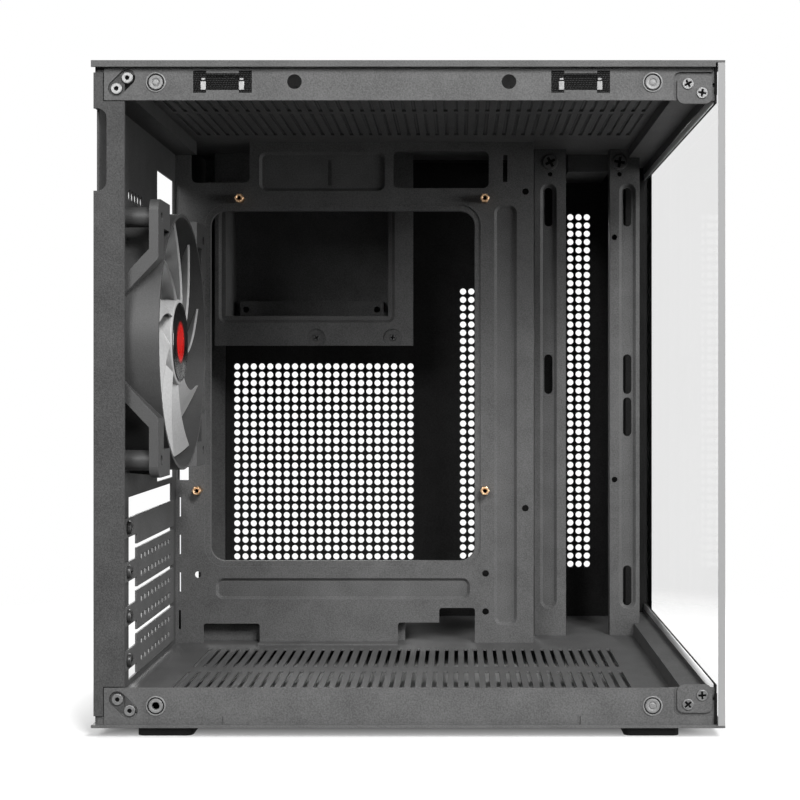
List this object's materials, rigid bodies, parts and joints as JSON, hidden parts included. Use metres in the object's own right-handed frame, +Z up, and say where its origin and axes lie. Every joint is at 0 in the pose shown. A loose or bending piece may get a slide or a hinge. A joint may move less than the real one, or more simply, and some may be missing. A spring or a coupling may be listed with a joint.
{
  "type": "mini tower pc case",
  "caption": "Compact two-chamber computer case with a glass front, a perforated sliding side, a rear fan and an open left side.",
  "frame": {"origin": "on the ground, under the middle of the case's box", "axes": "+X to the glass front, +Y to the perforated right side, +Z up; the open side faces -Y"},
  "size_m": [0.2744, 0.276, 0.2875],
  "materials": {
    "black_steel": "satin powder coat",
    "brass": "bright",
    "bright_steel": "satin",
    "dark_screw": "satin",
    "black_plastic": "fine texture",
    "blade_plastic": "satin",
    "hub_disc": "gloss",
    "foot_rubber": "matt",
    "clear_glass": "polished",
    "filter_mesh": "fine mesh"
  },
  "bodies": {
    "chassis": {"base_pan": "black_steel", "top_panel": "black_steel", "rear_panel": "black_steel", "motherboard_tray": "black_steel", "standoffs": "brass", "front_top_beam": "black_steel", "front_bottom_beam": "black_steel", "front_pillar": "black_steel", "front_glass": "clear_glass", "glass_gasket": "foot_rubber", "drive_cage": "black_steel", "cage_screws": "dark_screw", "psu_support": "black_steel", "beam_screws": "bright_steel", "frame_screws": "bright_steel", "ball_catches": "black_steel", "panel_clip_rear": "black_plastic", "panel_clip_front": "black_plastic", "clip_contacts": "bright_steel", "rail_screws": "dark_screw", "fan_frame": "black_plastic", "fan_shaft": "bright_steel", "fan_screws": "dark_screw", "slot_cover_screws": "dark_screw", "top_dust_filter": "filter_mesh", "strip_housing": "black_plastic", "power_switch": "black_plastic", "reset_switch": "black_plastic", "foot_rear_left": "foot_rubber", "foot_front_left": "foot_rubber", "foot_rear_right": "foot_rubber", "foot_front_right": "foot_rubber", "side_rail_inner": "black_steel", "side_rail_outer": "black_steel", "usb_a_port_1": "bright_steel", "usb_a_port_2": "bright_steel", "usb_c_port": "bright_steel", "audio_jack": "black_plastic", "slot_cover_1": "black_steel", "slot_cover_2": "black_steel", "slot_cover_3": "black_steel", "slot_cover_4": "black_steel"},
    "fan_rotor": {"fan_rotor": "blade_plastic", "fan_hub_disc": "hub_disc"},
    "right_panel": {"right_panel": "black_steel", "right_panel_flange": "black_steel", "panel_thumbscrews": "dark_screw"},
    "power_button": {"power_button": "black_plastic"},
    "reset_button": {"reset_button": "black_plastic"}
  },
  "joints": [
    {"name": "fan_spin", "type": "hinge", "parent": "chassis", "child": "fan_rotor", "pos_m": [-0.11635, -0.0705, 0.1695], "axis": [1, 0, 0], "continuous": true},
    {"name": "right_panel_slide", "type": "slide", "parent": "chassis", "child": "right_panel", "axis": [-1, 0, 0], "range_m": [0, 0.015]},
    {"name": "power_button_press", "type": "slide", "parent": "chassis", "child": "power_button", "axis": [0, 0, -1], "range_m": [0, 0.0015], "stiffness_N_per_m": 800, "springref_m": -0.0005},
    {"name": "reset_button_press", "type": "slide", "parent": "chassis", "child": "reset_button", "axis": [0, 0, -1], "range_m": [0, 0.0015], "stiffness_N_per_m": 400, "springref_m": -0.0005}
  ]
}
